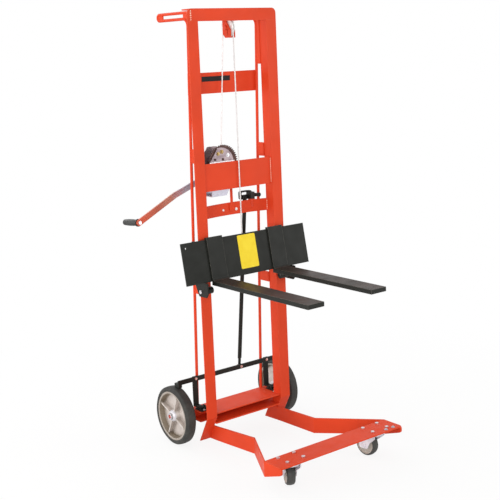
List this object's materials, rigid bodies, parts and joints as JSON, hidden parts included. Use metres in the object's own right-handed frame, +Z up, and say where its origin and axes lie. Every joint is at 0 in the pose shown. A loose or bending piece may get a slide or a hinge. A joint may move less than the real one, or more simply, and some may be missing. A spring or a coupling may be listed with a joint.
{
  "type": "winch stacker",
  "caption": "Hand winch stacker: red mast frame on large rear wheels and front casters, with a cable-lifted black fork carriage, crank winch and parking brake.",
  "frame": {"origin": "on the floor, under the middle of the whole object's box", "axes": "+Z up, +Y towards the operator behind the mast, forks point along -Y"},
  "size_m": [0.7766, 0.9499, 1.848],
  "materials": {
    "red_paint": "gloss red enamel",
    "black_paint": "satin black enamel",
    "zinc_steel": "bright zinc plate",
    "cable_steel": "galvanised wire rope",
    "cast_hub": "as cast",
    "tyre_rubber": "matt moulded rubber",
    "caster_core": "moulded core",
    "caster_rubber": "smooth grey rubber",
    "grip_plastic": "moulded black"
  },
  "bodies": {
    "frame": {"mast_left": "red_paint", "mast_right": "red_paint", "rear_rod_left": "red_paint", "rear_rod_right": "red_paint", "leg_left": "red_paint", "leg_right": "red_paint", "rod_spacers": "red_paint", "top_rail": "red_paint", "upper_crossbar": "red_paint", "winch_crossbar": "red_paint", "lower_crossbar": "red_paint", "winch_strap": "red_paint", "axle_channel": "red_paint", "axle": "zinc_steel", "axle_collars": "zinc_steel", "front_plate": "red_paint", "caster_bolts": "zinc_steel", "caster_plates": "zinc_steel", "sheave_bracket": "red_paint", "frame_pins": "zinc_steel", "winch_frame": "zinc_steel", "upper_cable": "cable_steel", "front_cable": "cable_steel", "brake_feet": "black_paint", "lever_bracket": "black_paint"},
    "crank": {"pinion": "zinc_steel", "ratchet_wheel": "zinc_steel", "crank_arm": "zinc_steel", "crank_fasteners": "zinc_steel"},
    "grip": {"crank_grip": "grip_plastic"},
    "drum": {"drum": "zinc_steel", "drum_gear": "zinc_steel", "drum_shaft": "zinc_steel", "drum_winding": "cable_steel"},
    "pawl": {"pawl": "zinc_steel"},
    "sheave": {"sheave": "zinc_steel"},
    "carriage": {"carriage_plate": "black_paint", "fork_left": "black_paint", "fork_right": "black_paint", "roller_brackets": "black_paint", "cable_anchor": "black_paint", "roller_bolts": "zinc_steel"},
    "brake": {"brake_bar": "black_paint", "rod_pin": "zinc_steel"},
    "pull_rod": {"pull_rod": "black_paint"},
    "lever": {"hand_lever": "black_paint"},
    "front_roller_left": {"front_roller_left": "zinc_steel"},
    "front_roller_right": {"front_roller_right": "zinc_steel"},
    "rear_roller_left": {"rear_roller_left": "zinc_steel"},
    "rear_roller_right": {"rear_roller_right": "zinc_steel"},
    "wheel_left": {"hub_left": "cast_hub", "tyre_left": "tyre_rubber"},
    "caster_left": {"caster_yoke_left": "zinc_steel"},
    "caster_wheel_left": {"caster_hub_left": "caster_core", "caster_tread_left": "caster_rubber"},
    "wheel_right": {"hub_right": "cast_hub", "tyre_right": "tyre_rubber"},
    "caster_right": {"caster_yoke_right": "zinc_steel"},
    "caster_wheel_right": {"caster_hub_right": "caster_core", "caster_tread_right": "caster_rubber"}
  },
  "joints": [
    {"name": "crank_turn", "type": "hinge", "parent": "frame", "child": "crank", "pos_m": [-0.03888, 0.275, 1.13256], "axis": [0, -1, 0], "range_deg": [-5830.42, 8360.6]},
    {"name": "carriage_lift", "type": "slide", "parent": "frame", "child": "carriage", "axis": [0, 0, 1], "range_m": [-0.53001, 0.76001], "deforming": ["front_cable"]},
    {"name": "drum_turn", "type": "hinge", "parent": "frame", "child": "drum", "pos_m": [-0.00573, 0.225, 1.213], "axis": [0, 1, 0], "range_deg": [-1215.67, 1742.79]},
    {"name": "sheave_turn", "type": "hinge", "parent": "frame", "child": "sheave", "pos_m": [0.06127, 0.213, 1.77], "axis": [-1, 0, 0], "range_deg": [-868.62, 1245.14]},
    {"name": "grip_spin", "type": "hinge", "parent": "crank", "child": "grip", "pos_m": [-0.37004, 0.35552, 0.98995], "axis": [-0.1339, 0.9893, -0.0577], "continuous": true},
    {"name": "pawl_swing", "type": "hinge", "parent": "frame", "child": "pawl", "pos_m": [-0.00888, 0.277, 1.17856], "axis": [0, -1, 0], "range_deg": [0, 25]},
    {"name": "brake_swing", "type": "hinge", "parent": "frame", "child": "brake", "pos_m": [0.06127, 0.263, 0.157], "axis": [1, 0, 0], "range_deg": [0, 8]},
    {"name": "rod_swing", "type": "hinge", "parent": "brake", "child": "pull_rod", "pos_m": [0.11327, 0.31, 0.277], "axis": [1, 0, 0], "range_deg": [-9.5, 0.2]},
    {"name": "lever_swing", "type": "hinge", "parent": "frame", "child": "lever", "pos_m": [0.17327, 0.264, 1.052], "axis": [0, 1, 0], "range_deg": [-0.2, 12.8]},
    {"name": "front_roller_left_roll", "type": "hinge", "parent": "carriage", "child": "front_roller_left", "pos_m": [-0.14373, 0.1601, 0.692], "axis": [-1, 0, 0], "range_deg": [-2095.26, 3004.09]},
    {"name": "front_roller_right_roll", "type": "hinge", "parent": "carriage", "child": "front_roller_right", "pos_m": [0.26627, 0.1601, 0.692], "axis": [-1, 0, 0], "range_deg": [-2095.26, 3004.09]},
    {"name": "rear_roller_left_roll", "type": "hinge", "parent": "carriage", "child": "rear_roller_left", "pos_m": [-0.14373, 0.1949, 0.88], "axis": [1, 0, 0], "range_deg": [-2095.26, 3004.09]},
    {"name": "rear_roller_right_roll", "type": "hinge", "parent": "carriage", "child": "rear_roller_right", "pos_m": [0.26627, 0.1949, 0.88], "axis": [1, 0, 0], "range_deg": [-2095.26, 3004.09]},
    {"name": "wheel_left_spin", "type": "hinge", "parent": "frame", "child": "wheel_left", "pos_m": [-0.22273, 0.332, 0.127], "axis": [1, 0, 0], "continuous": true},
    {"name": "caster_left_swivel", "type": "hinge", "parent": "frame", "child": "caster_left", "pos_m": [-0.16373, -0.369, 0.1], "axis": [0, 0, 1], "continuous": true},
    {"name": "caster_left_roll", "type": "hinge", "parent": "caster_left", "child": "caster_wheel_left", "pos_m": [-0.14495, -0.33368, 0.048], "axis": [-0.8829, 0.4695, 0], "continuous": true},
    {"name": "wheel_right_spin", "type": "hinge", "parent": "frame", "child": "wheel_right", "pos_m": [0.34527, 0.332, 0.127], "axis": [1, 0, 0], "continuous": true},
    {"name": "caster_right_swivel", "type": "hinge", "parent": "frame", "child": "caster_right", "pos_m": [0.28627, -0.369, 0.1], "axis": [0, 0, 1], "continuous": true},
    {"name": "caster_right_roll", "type": "hinge", "parent": "caster_right", "child": "caster_wheel_right", "pos_m": [0.2807, -0.32939, 0.048], "axis": [-0.9903, -0.1392, 0], "continuous": true}
  ],
  "couplings": [
    {"joint": "carriage_lift", "follows": "crank_turn", "m_per_rad": 0.0052083},
    {"joint": "drum_turn", "follows": "crank_turn", "ratio": 0.20833},
    {"joint": "sheave_turn", "follows": "crank_turn", "ratio": 0.14881},
    {"joint": "rod_swing", "follows": "brake_swing", "ratio": -1.1601},
    {"joint": "lever_swing", "follows": "brake_swing", "ratio": 1.5638},
    {"joint": "front_roller_left_roll", "follows": "crank_turn", "ratio": 0.3592},
    {"joint": "front_roller_right_roll", "follows": "crank_turn", "ratio": 0.3592},
    {"joint": "rear_roller_left_roll", "follows": "crank_turn", "ratio": 0.3592},
    {"joint": "rear_roller_right_roll", "follows": "crank_turn", "ratio": 0.3592}
  ]
}
